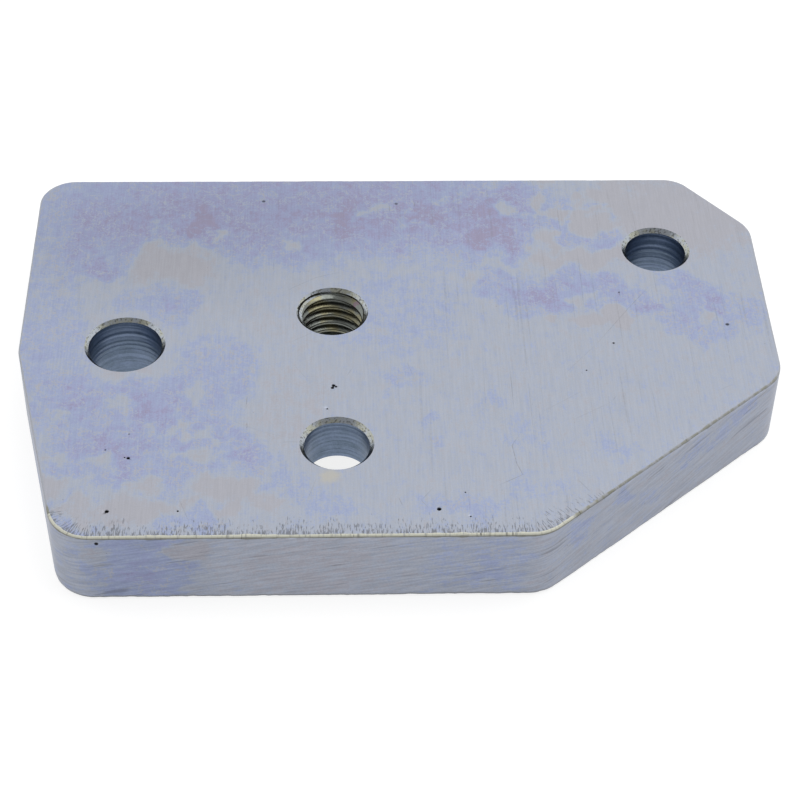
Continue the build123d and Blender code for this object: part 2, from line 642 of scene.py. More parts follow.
@dataclass(frozen=True)
class Stain:
    """A cloud in the zinc's passivation film, on the top face or unrolled round the wall.

    Attributes:
        at: its centre, from the two datum edges, or station and height on the wall.
        reach: its half length and half width.
        amount: what it adds to the film, less than nothing where the film is thin.
        turn: degrees that its length is turned anticlockwise.
        edge: share of the reach over which it fades out.
    """

    at: tuple[float, float]
    reach: tuple[float, float]
    amount: float
    turn: float = 0.0
    edge: float = 0.6

    def add_to(self, points: np.ndarray) -> np.ndarray:
        """What the cloud adds at each point: full inside, eased to nothing at the reach."""
        angle = math.radians(self.turn)
        away = points - np.array(self.at)
        along = away[:, 0] * math.cos(angle) + away[:, 1] * math.sin(angle)
        across = away[:, 1] * math.cos(angle) - away[:, 0] * math.sin(angle)
        out = np.hypot(along / self.reach[0], across / self.reach[1])
        return self.amount * smooth((1.0 - out) / self.edge)


# Thickness of the film over plain metal, and where it thickens into blue, lavender and mauve.
PLAIN_FILM = 0.27
FACE_CLOUDS = (
    # the cloudy band along the back edge
    Stain((42.0, 69.0), (52.0, 13.0), 0.12),
    Stain((37.0, 67.5), (47.0, 15.5), 0.30, edge=0.4),
    Stain((11.0, 60.0), (13.0, 11.0), 0.16),
    Stain((25.0, 67.0), (12.0, 7.0), 0.08),
    Stain((34.0, 61.0), (10.0, 9.0), 0.06),
    Stain((49.0, 67.0), (13.0, 9.0), 0.08),
    Stain((61.0, 65.0), (11.0, 8.0), 0.08),
    Stain((73.0, 67.0), (10.0, 9.0), 0.24),
    Stain((65.0, 57.0), (10.0, 6.0), 0.20),
    Stain((7.2, 58.8), (3.4, 3.4), 0.18),
    Stain((9.8, 53.6), (4.0, 3.4), 0.34),
    Stain((24.7, 64.8), (2.6, 5.5), 0.34, turn=12.0),
    Stain((46.4, 64.5), (2.4, 6.5), 0.2),
    Stain((58.6, 66.0), (2.8, 3.0), 0.14),
    Stain((70.0, 60.3), (6.5, 3.6), 0.42, turn=-20.0),
    Stain((66.0, 62.5), (2.6, 3.4), 0.16),
    # thin places in the cloud
    Stain((21.0, 55.5), (8.0, 7.5), -0.56, edge=0.8),
    Stain((18.7, 64.6), (1.1, 4.0), -0.45, turn=14.0),
    Stain((28.1, 62.1), (1.6, 1.7), -0.6, edge=0.5),
    Stain((37.9, 59.9), (3.4, 2.4), -0.5),
    Stain((49.7, 67.3), (0.8, 1.0), -0.6),
    Stain((51.8, 67.7), (0.8, 1.0), -0.6),
    Stain((56.5, 67.4), (2.5, 2.0), -0.35),
    Stain((56.0, 63.5), (1.5, 1.5), -0.5),
    Stain((58.0, 63.2), (1.0, 0.8), -0.4),
    Stain((61.3, 70.0), (1.1, 4.0), -0.3),
    Stain((65.4, 70.4), (1.1, 3.5), -0.3, turn=-8.0),
    Stain((71.0, 67.4), (1.6, 2.1), -0.62, edge=0.5),
    Stain((76.2, 69.7), (2.0, 1.9), -0.6, turn=30.0, edge=0.4),
    Stain((82.5, 69.5), (1.4, 1.4), -0.6, edge=0.4),
    Stain((60.5, 56.5), (3.0, 3.0), -0.16),
    # the back right corner, where the film fades to beige
    Stain((97.5, 66.0), (15.5, 12.0), -0.34),
    Stain((77.0, 66.5), (4.6, 1.4), -0.52, turn=-8.0, edge=0.5),
    Stain((83.5, 64.5), (3.4, 4.5), -0.5, edge=0.5),
    Stain((87.0, 72.0), (3.0, 4.5), -0.5, edge=0.4),
    Stain((78.5, 74.0), (3.0, 1.2), -0.5, edge=0.5),
    Stain((77.4, 59.6), (2.6, 2.4), -0.42, edge=0.5),
    Stain((82.0, 56.0), (12.0, 2.2), -0.34, turn=8.0, edge=0.5),
    Stain((66.5, 52.8), (5.0, 1.8), -0.24, turn=20.0, edge=0.5),
    Stain((83.0, 61.0), (7.0, 3.6), 0.34, edge=0.6),
    Stain((86.0, 67.0), (2.4, 3.6), 0.34, edge=0.6),
    Stain((89.0, 61.0), (6.0, 3.0), 0.16, edge=0.7),
    Stain((94.5, 51.5), (6.0, 1.8), 0.2),
    # ragged lavender patches in front of the right-hand hole
    Stain((81.0, 48.9), (9.5, 5.0), 0.34, turn=5.0, edge=0.35),
    Stain((75.5, 46.5), (5.0, 5.5), 0.20, edge=0.4),
    Stain((70.0, 48.5), (4.6, 6.5), 0.32, edge=0.5),
    Stain((89.5, 45.0), (3.2, 4.0), 0.30, edge=0.35),
    Stain((97.5, 46.5), (5.5, 6.0), 0.33, edge=0.4),
    Stain((95.0, 41.0), (8.0, 2.4), 0.22, turn=-38.0, edge=0.4),
    Stain((101.5, 42.5), (3.2, 7.0), 0.22, edge=0.4),
    Stain((76.5, 42.7), (1.6, 1.2), -0.6, edge=0.3),
    Stain((82.5, 42.3), (2.8, 1.6), -0.5, edge=0.3),
    Stain((81.0, 46.5), (1.6, 2.0), -0.4, edge=0.4),
    Stain((86.5, 44.0), (2.6, 2.4), -0.5, edge=0.4),
    Stain((98.0, 43.0), (0.9, 2.2), -0.4, edge=0.4),
    Stain((105.5, 44.0), (2.4, 5.5), 0.2),
    # pale blue left side
    Stain((2.0, 42.0), (9.0, 26.0), 0.15),
    Stain((6.0, 33.0), (9.0, 12.0), 0.08),
    Stain((17.5, 47.0), (7.5, 4.5), 0.18),
    Stain((22.5, 47.5), (3.4, 7.0), 0.20),
    Stain((54.0, 44.0), (14.0, 12.0), 0.12),
    # the violet cloud at the front left
    Stain((13.5, 24.0), (13.0, 10.5), 0.28),
    Stain((23.5, 24.0), (10.0, 10.0), 0.23),
    Stain((28.5, 33.0), (8.0, 9.0), 0.20),
    Stain((9.0, 26.5), (5.0, 4.5), 0.10),
    Stain((29.5, 17.5), (6.0, 6.0), 0.24),
    Stain((33.5, 14.5), (3.0, 7.0), 0.24),
    Stain((12.0, 14.5), (9.0, 6.5), 0.30),
    Stain((21.0, 13.0), (9.0, 7.5), 0.26),
    Stain((26.0, 3.5), (5.0, 4.0), 0.2),
    Stain((10.0, 4.0), (6.0, 5.0), 0.2),
    Stain((14.8, 23.5), (0.9, 5.0), -0.34, turn=20.0, edge=0.7),
    Stain((21.3, 20.2), (0.9, 4.4), -0.36, turn=-38.0, edge=0.7),
    Stain((25.6, 19.8), (6.5, 1.3), -0.38, turn=-43.0, edge=0.6),
    Stain((25.0, 15.2), (6.0, 1.0), -0.36, turn=3.0, edge=0.6),
    Stain((12.7, 14.3), (3.0, 1.9), -0.36, edge=0.6),
    Stain((7.7, 14.2), (3.6, 1.6), -0.36, edge=0.6),
    Stain((25.8, 27.6), (3.0, 3.4), -0.30, edge=0.5),
    Stain((6.8, 22.3), (1.4, 1.8), -0.4, edge=0.5),
    Stain((14.0, 32.0), (7.0, 3.5), -0.26, edge=0.8),
    # beige islands along the front left edge
    Stain((31.6, 8.8), (3.0, 3.6), -0.40, edge=0.7),
    Stain((29.8, 4.6), (2.4, 1.6), -0.36, edge=0.6),
    Stain((18.3, 4.2), (4.6, 3.2), -0.42, edge=0.6),
    Stain((22.8, 6.2), (2.4, 2.2), -0.36, edge=0.6),
    Stain((10.8, 5.0), (4.8, 2.6), -0.42, edge=0.6),
    Stain((19.2, 9.8), (2.8, 2.4), -0.40, edge=0.6),
    Stain((27.6, 10.0), (2.8, 4.0), -0.34, edge=0.6),
    Stain((7.8, 9.6), (2.4, 2.2), -0.36, edge=0.6),
    Stain((35.2, 6.6), (2.0, 1.8), -0.3, edge=0.4),
    Stain((39.0, 24.0), (7.0, 12.0), -0.08),
    # faint blue smudges in the plain front right
    Stain((54.0, 30.0), (5.0, 3.0), 0.17),
    Stain((66.0, 25.5), (6.0, 1.6), 0.14, turn=16.0),
    Stain((57.4, 20.8), (2.2, 1.4), 0.15),
    Stain((59.5, 17.4), (1.8, 1.2), 0.2),
    Stain((62.0, 5.0), (7.0, 3.6), 0.18),
    Stain((38.5, 9.0), (4.5, 5.5), 0.14),
    Stain((44.0, 5.0), (6.0, 4.0), 0.12),
    Stain((72.0, 8.0), (6.0, 3.0), 0.10),
    Stain((82.0, 15.5), (2.0, 2.6), 0.15),
    Stain((84.8, 17.0), (1.2, 2.2), 0.13),
    Stain((71.0, 19.0), (5.0, 4.0), 0.08),
    Stain((36.0, 40.5), (7.0, 6.0), -0.05),
)

# Painted shade: the top face is painted a little darker towards the back left and along the back
# edge, where less light falls.
FACE_SHADE = (
    Stain((20.0, 62.0), (46.0, 26.0), 0.12, edge=0.9),
    Stain((52.0, 70.0), (40.0, 14.0), 0.05, edge=0.9),
)


def total(stains: tuple[Stain, ...], points: np.ndarray) -> np.ndarray:
    """The sum of what the stains add at each point."""
    return sum((stain.add_to(points) for stain in stains), np.zeros(len(points)))


@dataclass(frozen=True)
class Flat:
    """The top face or the underside: triangles between the outline and the holes' rims."""

    spacing: float
    seed: int
    marks: tuple[Pit | Scratch, ...] = ()
    clearance: float = 0.45
    mark_clearance: float = 0.2
    shake: float = 0.12

    def inner_points(self, loops: list[np.ndarray]) -> np.ndarray:
        """Points for the middle of the face: a shaken triangular lattice and the marks' own.

        Args:
            loops: the outer loop first, then one loop for each hole.

        Returns:
            The points that lie clear of every loop.
        """
        low = loops[0].min(axis=0)
        high = loops[0].max(axis=0)
        pitch = self.spacing * math.sqrt(3.0) / 2.0
        rows = np.arange(low[1], high[1], pitch)
        columns = np.arange(low[0], high[0], self.spacing)
        across, up = np.meshgrid(columns, rows)
        across = across + (np.arange(rows.size) % 2 * self.spacing / 2.0)[:, None]
        lattice = np.column_stack([across.ravel(), up.ravel()])
        draw = np.random.default_rng(self.seed)
        lattice = lattice + draw.uniform(-self.shake, self.shake, lattice.shape) * self.spacing
        for mark in self.marks:
            lattice = lattice[mark.away(lattice) > self.mark_clearance]
        everything = np.vstack([lattice, *[mark.own_points() for mark in self.marks]])
        everything = everything[between(everything, loops)]
        near = np.full(len(everything), np.inf)
        for loop in loops:
            for part in np.array_split(np.arange(len(loop)), 8):
                gap = np.linalg.norm(everything[:, None, :] - loop[None, part, :], axis=2)
                near = np.minimum(near, gap.min(axis=1))
        return everything[near > self.clearance]

    def triangles(self, loops: list[np.ndarray], inner: np.ndarray) -> np.ndarray:
        """Join the loops and the inner points into triangles that face upwards.

        Args:
            loops: the outer loop first, then one loop for each hole.
            inner: the points between them.

        Returns:
            Rows of three indices into the loops' points followed by the inner points.
        """
        points = np.vstack([*loops, inner])
        edges = []
        start = 0
        for loop in loops:
            number = np.arange(len(loop)) + start
            edges += np.column_stack([number, np.roll(number, -1)]).tolist()
            start += len(loop)
        flat = [Vector(point) for point in points.tolist()]
        _, _, faces, origin, _, _ = delaunay_2d_cdt(flat, edges, [], 0, 1e-6)
        source = np.array([first[0] for first in origin])
        corner = source[np.array(faces)]
        corner = corner[between(points[corner].mean(axis=1), loops)]
        a, b, c = points[corner[:, 0]], points[corner[:, 1]], points[corner[:, 2]]
        area = (b - a)[:, 0] * (c - a)[:, 1] - (b - a)[:, 1] * (c - a)[:, 0]
        corner[area < 0.0] = corner[area < 0.0][:, ::-1]
        return corner


def inside(points: np.ndarray, loop: np.ndarray) -> np.ndarray:
    """Which points lie inside a closed loop: those with an odd number of sides to the right."""
    held = np.zeros(len(points), dtype=bool)
    start, end = loop, np.roll(loop, -1, axis=0)
    for part in np.array_split(np.arange(len(points)), max(1, len(points) // 2000)):
        x, y = points[part, 0][:, None], points[part, 1][:, None]
        spans = (start[:, 1] > y) != (end[:, 1] > y)
        rise = np.where(end[:, 1] == start[:, 1], 1.0, end[:, 1] - start[:, 1])
        crossing = start[:, 0] + (y - start[:, 1]) * (end[:, 0] - start[:, 0]) / rise
        held[part] = (spans & (x < crossing)).sum(axis=1) % 2 == 1
    return held


def between(points: np.ndarray, loops: list[np.ndarray]) -> np.ndarray:
    """Which points lie inside the first loop and outside all the others."""
    keep = inside(points, loops[0])
    for loop in loops[1:]:
        keep &= ~inside(points, loop)
    return keep


def mount(name: str) -> dict[str, Any]:
    """The record's mount of that name."""
    return next(entry for entry in RECORD["mounts"] if entry["name"] == name)


def hole_at(name: str) -> tuple[float, float]:
    """X and Y of a mount's axis, in millimetres."""
    place = mount(name)["pos_m"]
    return (place[0] / MM, place[1] / MM)


def even_mouth(name: str) -> float:
    """The reach of the two equal cones that a through hole's record leaves at its ends."""
    return (THICKNESS - mount(name)["dims"]["length_mm"]) / 2.0


# Size, reach and seed of each wander that frays the clouds' outlines.
FACE_WANDERS = ((6.0, 0.9, 4), (2.2, 0.45, 9))
WALL_WANDER = (3.0, 0.5, 14)
# How near an edge a point has to be to count as part of it.
EDGE_ZONE = 0.3
SHARP_ANGLE = 32.0


@dataclass(frozen=True)
class BlockShape:
    """The whole block as one closed surface: wall, holes, top face and underside."""

    edge: Edge
    bores: tuple[Bore, ...]
    top: Flat = Flat(spacing=0.72, seed=5, marks=(*PITS, *SCRATCHES))
    underside: Flat = Flat(spacing=2.6, seed=6, clearance=0.6)

    def build(self, name: str) -> bpy.types.Object:
        """Work out every point and face and put them into one mesh object.

        Args:
            name: the piece's name.

        Returns:
            The object, at the origin, with its finish attributes on the mesh.
        """
        patches = [self.edge.wall(), *[bore.wall() for bore in self.bores]]
        blocks = [patch.points.reshape(-1, 3) for patch in patches]
        starts = np.cumsum([0, *[len(block) for block in blocks]])
        quads, quad_runs, quad_surfaces = [], [], []
        for patch, start in zip(patches, starts):
            faces, runs = self.quads(patch, int(start))
            quads.append(faces)
            quad_runs.append(runs)
            kinds = np.array([kind.value for kind in patch.surface])
            quad_surfaces.append(np.repeat(kinds, patch.points.shape[1]))
        top_loops = [patch.points[0] for patch in patches]
        low_loops = [patch.points[-1] for patch in patches]
        first, last = [], []
        for loop, start, end in zip(top_loops, starts, starts[1:]):
            first.append(start + np.arange(len(loop)))
            last.append(end - len(loop) + np.arange(len(loop)))
        top_points, top_faces = self.flat(self.top, top_loops, first, int(starts[-1]), THICKNESS)
        below = int(starts[-1]) + len(top_points)
        low_points, low_faces = self.flat(self.underside, low_loops, last, below, 0.0)
        low_faces = low_faces[:, ::-1]
        points = np.vstack([*blocks, top_points, low_points])
        mesh = bpy.data.meshes.new(name)
        all_quads = np.vstack(quads)
        all_triangles = np.vstack([top_faces, low_faces])
        mesh.from_pydata(
            (points * MM).tolist(), [], [*all_quads.tolist(), *all_triangles.tolist()]
        )
        faces_flat = np.full(len(all_triangles), Surface.FACE.value)
        surface = np.concatenate([*quad_surfaces, faces_flat])
        mesh.polygons.foreach_set("material_index", surface.astype(np.int32))
        corner_run = np.vstack([*quad_runs, points[all_triangles.ravel(), :2]])
        layer = mesh.uv_layers.new(name="run")
        layer.data.foreach_set("uv", corner_run.astype(np.float32).ravel())
        self.mark_film(mesh, points)
        self.smooth_shading(mesh, points, starts)
        mesh.validate()
        mesh.update()
        piece = bpy.data.objects.new(name, mesh)
        bpy.context.scene.collection.objects.link(piece)
        LOG.info("%s: %d points, %d faces", name, len(points), len(mesh.polygons))
        return piece

    @staticmethod
    def quads(patch: Patch, start: int) -> tuple[np.ndarray, np.ndarray]:
        """The faces of a patch, and the run coordinates of their corners."""
        rows, columns = patch.points.shape[:2]
        row, column = np.meshgrid(np.arange(rows - 1), np.arange(columns), indexing="ij")
        after = column + 1
        here = start + row * columns + column
        ahead = start + row * columns + after % columns
        faces = np.stack([here, here + columns, ahead + columns, ahead], axis=-1)
        corner_rows = np.stack([row, row + 1, row + 1, row], axis=-1)
        corner_columns = np.stack([column, column, after, after], axis=-1)
        if not patch.outside:
            faces = faces[..., ::-1]
            corner_rows = corner_rows[..., ::-1]
            corner_columns = corner_columns[..., ::-1]
        run = patch.run[corner_rows, corner_columns]
        return faces.reshape(-1, 4), run.reshape(-1, 2)

    @staticmethod
    def flat(
        face: Flat,
        loops: list[np.ndarray],
        numbers: list[np.ndarray],
        start: int,
        height: float,
    ) -> tuple[np.ndarray, np.ndarray]:
        """The inner points of a flat face, with its marks sunk, and its triangles."""
        outlines = [loop[:, :2] for loop in loops]
        inner = face.inner_points(outlines)
        local = face.triangles(outlines, inner)
        lookup = np.concatenate([*numbers, start + np.arange(len(inner))])
        level = np.full(len(inner), height)
        if face.marks:
            level = height - np.max([one.depth * one.share(inner) for one in face.marks], axis=0)
        return np.column_stack([inner, level]), lookup[local]

    def mark_film(self, mesh: bpy.types.Mesh, points: np.ndarray) -> None:
        """Store what the finishes need to know at each point of the mesh.

        film is the thickness of the passivation film, shade how much darker the surface is painted
        as painted shade (the walls against the top face, and the back left of the top face), pit and
        groove how deep in a pit or a scratch, rim_station and rim_gap the nearest station on the
        outline and how far in from it, and burr how thick the burrs stand.
        """
        flat = points[:, :2]
        from_datum = flat + np.array([LENGTH / 2.0, WIDTH / 2.0])
        trace = self.edge.outline.trace(self.edge.step)
        station, gap = nearest(flat, trace)
        level = points[:, 2]
        on_wall = (gap < EDGE_ZONE) & (level < THICKNESS - EDGE_ZONE)
        unrolled = np.column_stack([station, level])
        uneven = from_datum
        for size, reach, seed in FACE_WANDERS:
            uneven = wander(uneven, size, reach, seed)
        film = PLAIN_FILM + total(FACE_CLOUDS, uneven)
        wall_film = WALL_FILM + total(WALL_CLOUDS, wander(unrolled, *WALL_WANDER))
        # Painted shade: the top face darker towards the back left, and every wall darker than the
        # top face.
        shade = total(FACE_SHADE, from_datum)
        wall_shade = PLAIN_WALL_SHADE + total(WALL_SHADE, unrolled)
        on_top = level > THICKNESS / 2
        pit = np.max([one.darkness(flat) for one in PITS], axis=0) * on_top
        groove = np.max([one.strength * one.share(flat) for one in SCRATCHES], axis=0) * on_top
        store(mesh, "film", np.where(on_wall, wall_film, film))
        store(mesh, "shade", np.where(on_wall, wall_shade, shade))
        store(mesh, "pit", pit)
        store(mesh, "groove", groove)
        store(mesh, "rim_station", station)
        store(mesh, "rim_gap", gap)
        store(mesh, "burr", np.minimum(total(BURRS, unrolled * [1.0, 0.0]), 1.0) * on_top)

    @staticmethod
    def smooth_shading(mesh: bpy.types.Mesh, points: np.ndarray, starts: np.ndarray) -> None:
        """Shade the surface smoothly, and keep the machined edges crisp outside the thread."""
        mesh.shade_smooth()
        mesh.set_sharp_from_angle(angle=math.radians(SHARP_ANGLE))
        thread = np.zeros(len(points), dtype=bool)
        thread[starts[-2] : starts[-1]] = True
        thread &= (points[:, 2] < THICKNESS - EDGE_ZONE) & (points[:, 2] > EDGE_ZONE)
        ends = np.empty(len(mesh.edges) * 2, dtype=np.int32)
        mesh.edges.foreach_get("vertices", ends)
        sharp = mesh.attributes.get("sharp_edge")
        marks = np.empty(len(mesh.edges), dtype=bool)
        sharp.data.foreach_get("value", marks)
        marks &= ~thread[ends.reshape(-1, 2)].all(axis=1)
        sharp.data.foreach_set("value", marks)


def store(mesh: bpy.types.Mesh, name: str, values: np.ndarray) -> None:
    """Keep one number for each point of the mesh under that attribute name."""
    attribute = mesh.attributes.new(name=name, type="FLOAT", domain="POINT")
    attribute.data.foreach_set("value", values.astype(np.float32))


def nearest(flat: np.ndarray, trace: Trace) -> tuple[np.ndarray, np.ndarray]:
    """The nearest station on the outline and the distance in from it, for each point."""
    station = np.empty(len(flat))
    gap = np.empty(len(flat))
    along = np.column_stack([-trace.outward[:, 1], trace.outward[:, 0]])
    for part in np.array_split(np.arange(len(flat)), max(1, len(flat) // 4000)):
        away = flat[part][:, None, :] - trace.points[None, :, :]
        closest = (away**2).sum(axis=2).argmin(axis=1)
        offset = away[np.arange(part.size), closest]
        station[part] = trace.station[closest] + (offset * along[closest]).sum(axis=1)
        gap[part] = -(offset * trace.outward[closest]).sum(axis=1)
    return station, np.maximum(gap, 0.0)


def on_front(from_left: float) -> float:
    """Station on the front side, from the block's left end."""
    return OUTLINE.station_on(Side.FRONT, from_left - OUTLINE.front_left_taper[0])


def on_diagonal(along: float) -> float:
    """Station on the diagonal side, from its front end."""
    return OUTLINE.station_on(Side.DIAGONAL, along)


# Film and painted shade of the walls, unrolled: station along the outline, then height.
WALL_FILM = 0.25
WALL_CLOUDS = (
    Stain((on_front(19.0), 6.5), (9.0, 9.0), 0.28, edge=0.4),
    Stain((on_front(18.5), 4.5), (4.0, 3.0), 0.12),
    Stain((on_front(24.5), 9.0), (4.5, 1.6), -0.45, turn=12.0, edge=0.4),
    Stain((on_front(13.5), 8.0), (2.0, 3.5), -0.25, turn=20.0, edge=0.5),
    Stain((on_front(8.0), 5.0), (5.0, 9.0), 0.06),
    Stain((on_front(41.0), 6.0), (13.0, 8.0), -0.10),
    Stain((on_front(61.0), 6.0), (7.0, 8.0), 0.09),
    Stain((on_front(67.0), 7.0), (4.5, 9.0), 0.12),
    Stain((on_diagonal(6.0), 8.5), (3.5, 2.6), 0.22, edge=0.5),
    Stain((on_diagonal(14.5), 9.0), (2.6, 1.8), 0.20, edge=0.5),
    Stain((on_diagonal(31.0), 8.5), (6.5, 2.8), 0.14, edge=0.5),
    Stain((on_diagonal(20.0), 5.0), (5.0, 2.0), 0.10, edge=0.6),
    Stain((on_diagonal(39.0), 10.0), (4.5, 1.8), 0.22, edge=0.5),
    Stain((OUTLINE.station_on(Side.BACK, 30.0), 6.0), (22.0, 9.0), 0.18, edge=0.6),
    Stain((OUTLINE.station_on(Side.BACK, 75.0), 5.0), (14.0, 7.0), 0.28, edge=0.5),
    Stain((OUTLINE.station_on(Side.LEFT, 16.0), 7.0), (12.0, 8.0), 0.2, edge=0.6),
    Stain((OUTLINE.station_on(Side.TAPER, 18.0), 5.0), (12.0, 8.0), 0.12, edge=0.6),
    Stain((OUTLINE.station_on(Side.RIGHT, 18.0), 6.0), (9.0, 6.0), 0.14, edge=0.6),
)
# Painted shade: every wall is painted darker than the top face, a little more at the front left and
# a little less on the diagonal.
PLAIN_WALL_SHADE = 0.16
WALL_SHADE = (
    Stain((on_diagonal(24.0), 6.0), (26.0, 40.0), -0.02, edge=0.15),
    Stain((on_front(20.0), 6.0), (10.0, 30.0), 0.05, edge=0.4),
)
# How thick the burrs stand along the top edge; only the station counts.
BURRS = (
    Stain((on_front(40.0), 0.0), (38.0, 9.0), 1.0, edge=0.12),
    Stain((on_front(10.0), 0.0), (7.0, 9.0), 0.35, edge=0.6),
    Stain((on_diagonal(5.0), 0.0), (9.0, 9.0), 0.45, edge=0.6),
    Stain((on_diagonal(22.0), 0.0), (27.0, 9.0), 0.32, edge=0.15),
)


# --- Finishes ------------------------------------------------------------------------------------

Colour = tuple[float, float, float]
Socket = bpy.types.NodeSocket


class Bench:
    """Adds nodes to one node tree and wires them, so that a finish reads like a recipe."""

    def __init__(self, tree: bpy.types.NodeTree) -> None:
        """Work on this tree."""
        self.tree = tree

    def node(self, kind: str, inputs: dict[str | int, Any] | None = None, **settings: Any) -> Any:
        """Add one node.

        Args:
            kind: the node's type name.
            inputs: what goes into its sockets, by name or number: a value, or another socket.
            **settings: the node's own settings.

        Returns:
            The node.
        """
        made = self.tree.nodes.new(kind)
        for name, value in settings.items():
            setattr(made, name, value)
        for key, value in (inputs or {}).items():
            self.feed(made.inputs[key], value)
        return made

    def feed(self, socket: Socket, value: Any) -> None:
        """Wire another socket to this one, or set its value."""
        if isinstance(value, bpy.types.NodeSocket):
            self.tree.links.new(value, socket)
        else:
            socket.default_value = value

    def math(self, operation: str, *values: Any, clamp: bool = False) -> Socket:
        """The result of one sum."""
        inputs = dict(enumerate(values))
        return self.node("ShaderNodeMath", inputs, operation=operation, use_clamp=clamp).outputs[0]

    def vector(self, operation: str, *values: Any, output: int = 0) -> Socket:
        """The result of one sum on vectors; output 1 is its plain number."""
        inputs = dict(enumerate(values))
        return self.node("ShaderNodeVectorMath", inputs, operation=operation).outputs[output]

    def noise(self, at: Socket, scale: float, detail: float = 2.0, roughness: float = 0.5) -> Socket:
        """Soft noise between 0 and 1, around a half."""
        inputs = {"Vector": at, "Scale": scale, "Detail": detail, "Roughness": roughness}
        return self.node("ShaderNodeTexNoise", inputs).outputs[0]

    def ramp(self, value: Any, start: Any, end: Any, low: Any = 0.0, high: Any = 1.0) -> Socket:
        """Ease from low to high as the value goes from start to end."""
        inputs = {"Value": value, "From Min": start, "From Max": end, "To Min": low, "To Max": high}
        made = self.node("ShaderNodeMapRange", inputs, interpolation_type="SMOOTHSTEP")
        return made.outputs[0]

    def place(self, at: Socket, scale: tuple[float, float, float], turn: float = 0.0) -> Socket:
        """Turn coordinates about Z by so many degrees, then stretch them."""
        turned = self.node("ShaderNodeVectorRotate", {"Vector": at, "Angle": math.radians(turn)})
        return self.vector("MULTIPLY", turned.outputs[0], scale)

    def mix(self, share: Any, first: Any, second: Any, blend: str = "MIX") -> Socket:
        """Mix two colours."""
        made = self.node("ShaderNodeMix", {0: share}, data_type="RGBA", blend_type=blend)
        for number, value in ((6, first), (7, second)):
            self.feed(made.inputs[number], (*value, 1.0) if isinstance(value, tuple) else value)
        return made.outputs[2]

    def grey(self, value: Socket) -> Socket:
        """The grey of that lightness."""
        return self.node("ShaderNodeCombineColor", {0: value, 1: value, 2: value}).outputs[0]

    def shaded(self, colour: Any, tone: Socket) -> Socket:
        """A colour made so many times as light."""
        return self.mix(1.0, colour, self.grey(tone), blend="MULTIPLY")

    def swing(self, value: Socket, reach: float) -> Socket:
        """Noise around a half turned into noise around nothing, of this reach."""
        return self.times(self.minus(value, 0.5), reach)

    def times(self, first: Any, second: Any) -> Socket:
        """One number times another."""
        return self.math("MULTIPLY", first, second)

    def plus(self, first: Any, second: Any) -> Socket:
        """One number plus another."""
        return self.math("ADD", first, second)

    def minus(self, first: Any, second: Any) -> Socket:
        """One number minus another."""
        return self.math("SUBTRACT", first, second)

    def attribute(self, name: str) -> Socket:
        """A number stored at the mesh's points."""
        return self.node("ShaderNodeAttribute", attribute_name=name).outputs["Fac"]


def new_group(name: str, inputs: dict[str, str], outputs: dict[str, str]) -> tuple[Bench, Any, Any]:
    """Start a shader node group.

    Args:
        name: the group's name.
        inputs: the name and kind of each input.
        outputs: the name and kind of each output.

    Returns:
        A bench on the group, the sockets that come in and the node that takes the results.
    """
    tree = bpy.data.node_groups.new(name, "ShaderNodeTree")
    for direction, sockets in (("INPUT", inputs), ("OUTPUT", outputs)):
        for label, kind in sockets.items():
            tree.interface.new_socket(name=label, in_out=direction, socket_type=f"NodeSocket{kind}")
    bench = Bench(tree)
    entry = bench.node("NodeGroupInput")
    result = bench.node("NodeGroupOutput")
    return bench, entry.outputs, result.inputs


@dataclass(frozen=True)
class FilmColours:
    """Colours that the film shows as it thickens.

    Attributes:
        stops: each colour, after the thickness where it is full.
        lightness: what every colour is multiplied by.
    """

    stops: tuple[tuple[float, Colour], ...] = (
        (0.00, (0.420, 0.424, 0.474)),
        (0.15, (0.418, 0.428, 0.488)),
        (0.22, (0.418, 0.450, 0.522)),
        (0.33, (0.400, 0.437, 0.527)),
        (0.41, (0.362, 0.416, 0.575)),
        (0.60, (0.340, 0.387, 0.568)),
        (0.72, (0.346, 0.368, 0.552)),
        (0.86, (0.334, 0.332, 0.498)),
        (1.00, (0.337, 0.316, 0.446)),
    )
    lightness: float = 0.955


